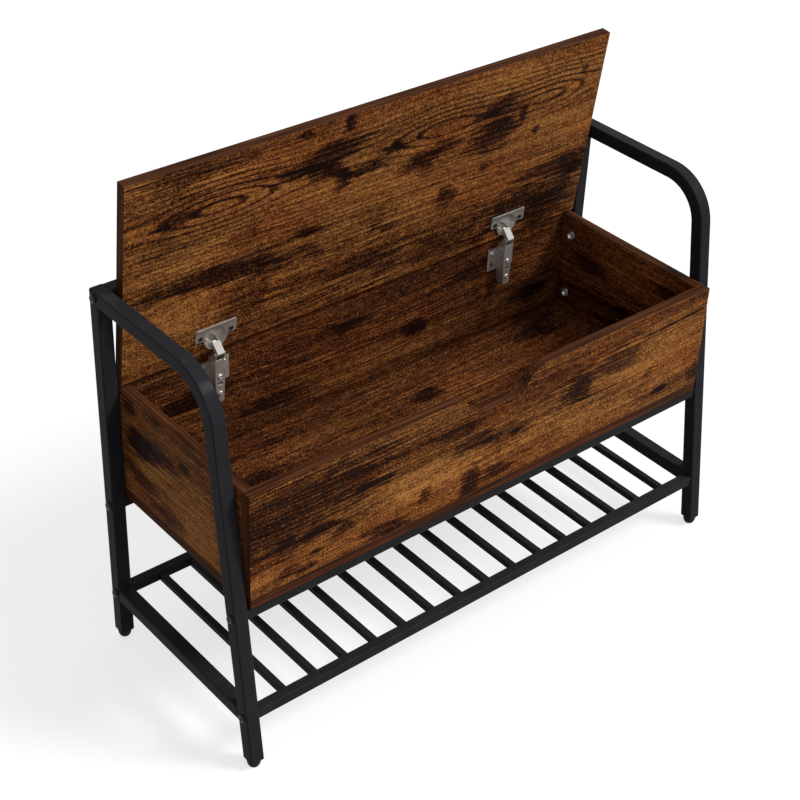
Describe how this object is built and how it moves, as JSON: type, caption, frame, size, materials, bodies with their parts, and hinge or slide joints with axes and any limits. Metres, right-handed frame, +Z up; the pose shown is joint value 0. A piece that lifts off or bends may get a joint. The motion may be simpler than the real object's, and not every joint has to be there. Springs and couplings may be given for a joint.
{
  "type": "shoe storage bench",
  "caption": "Bench with a bent steel tube frame and arms, a slatted shoe shelf below and a laminated board box whose hinged lid stands open",
  "frame": {"origin": "on the floor under the middle of the bench's bounding box", "axes": "+X along the bench to the right as seen from the front, -Y to the front, +Z up"},
  "size_m": [0.855, 0.3294, 0.7189],
  "materials": {
    "black_steel": "satin powder coat",
    "black_bolts": "blackened",
    "zinc": "zinc plated",
    "black_plastic": "matt",
    "wood_board": "dark brown rustic laminate with edge banding",
    "nickel": "nickel plated"
  },
  "bodies": {
    "bench": {"arm_leg_left": "black_steel", "arm_leg_right": "black_steel", "rear_leg_left": "black_steel", "rear_leg_right": "black_steel", "lower_side_rail_left": "black_steel", "lower_side_rail_right": "black_steel", "top_rear_rail": "black_steel", "box_rail_front": "black_steel", "box_rail_rear": "black_steel", "shelf_rail_front": "black_steel", "shelf_rail_rear": "black_steel", "shelf_slat_01": "black_steel", "shelf_slat_02": "black_steel", "shelf_slat_03": "black_steel", "shelf_slat_04": "black_steel", "shelf_slat_05": "black_steel", "shelf_slat_06": "black_steel", "shelf_slat_07": "black_steel", "shelf_slat_08": "black_steel", "shelf_slat_09": "black_steel", "shelf_slat_10": "black_steel", "shelf_slat_11": "black_steel", "shelf_slat_12": "black_steel", "shelf_slat_13": "black_steel", "shelf_slat_14": "black_steel", "shelf_slat_15": "black_steel", "frame_bolts": "black_bolts", "box_rail_screws": "black_bolts", "rail_end_blocks": "zinc", "cam_locks": "zinc", "cam_bolts": "zinc", "bottom_board_screws": "zinc", "foot_front_left": "black_plastic", "foot_front_right": "black_plastic", "foot_rear_left": "black_plastic", "foot_rear_right": "black_plastic", "box_front_panel": "wood_board", "box_back_panel": "wood_board", "box_left_panel": "wood_board", "box_right_panel": "wood_board", "box_bottom_panel": "wood_board", "hinge_arm_left": "nickel", "hinge_arm_right": "nickel", "hinge_plate_left": "nickel", "hinge_plate_right": "nickel", "hinge_arm_pins": "nickel", "hinge_plate_screws": "nickel", "hinge_adjust_screws": "nickel"},
    "lid": {"lid_panel": "wood_board", "hinge_cup_left": "nickel", "hinge_cup_right": "nickel", "hinge_cup_screws": "black_bolts", "hinge_cup_pins": "nickel"},
    "link_left": {"hinge_link_left": "nickel"},
    "link_right": {"hinge_link_right": "nickel"}
  },
  "joints": [
    {"name": "lid_hinge", "type": "hinge", "parent": "bench", "child": "lid", "pos_m": [0, 0.15468, 0.4305], "axis": [1, 0, 0], "range_deg": [0, 83.17]},
    {"name": "link_hinge_left", "type": "hinge", "parent": "bench", "child": "link_left", "pos_m": [-0.257, 0.13333, 0.41954], "axis": [1, 0, 0], "range_deg": [-42, 0]},
    {"name": "link_hinge_right", "type": "hinge", "parent": "bench", "child": "link_right", "pos_m": [0.257, 0.13333, 0.41954], "axis": [1, 0, 0], "range_deg": [-42, 0]}
  ],
  "couplings": [
    {"joint": "link_hinge_left", "follows": "lid_hinge", "ratio": -0.50278},
    {"joint": "link_hinge_right", "follows": "lid_hinge", "ratio": -0.50278}
  ]
}
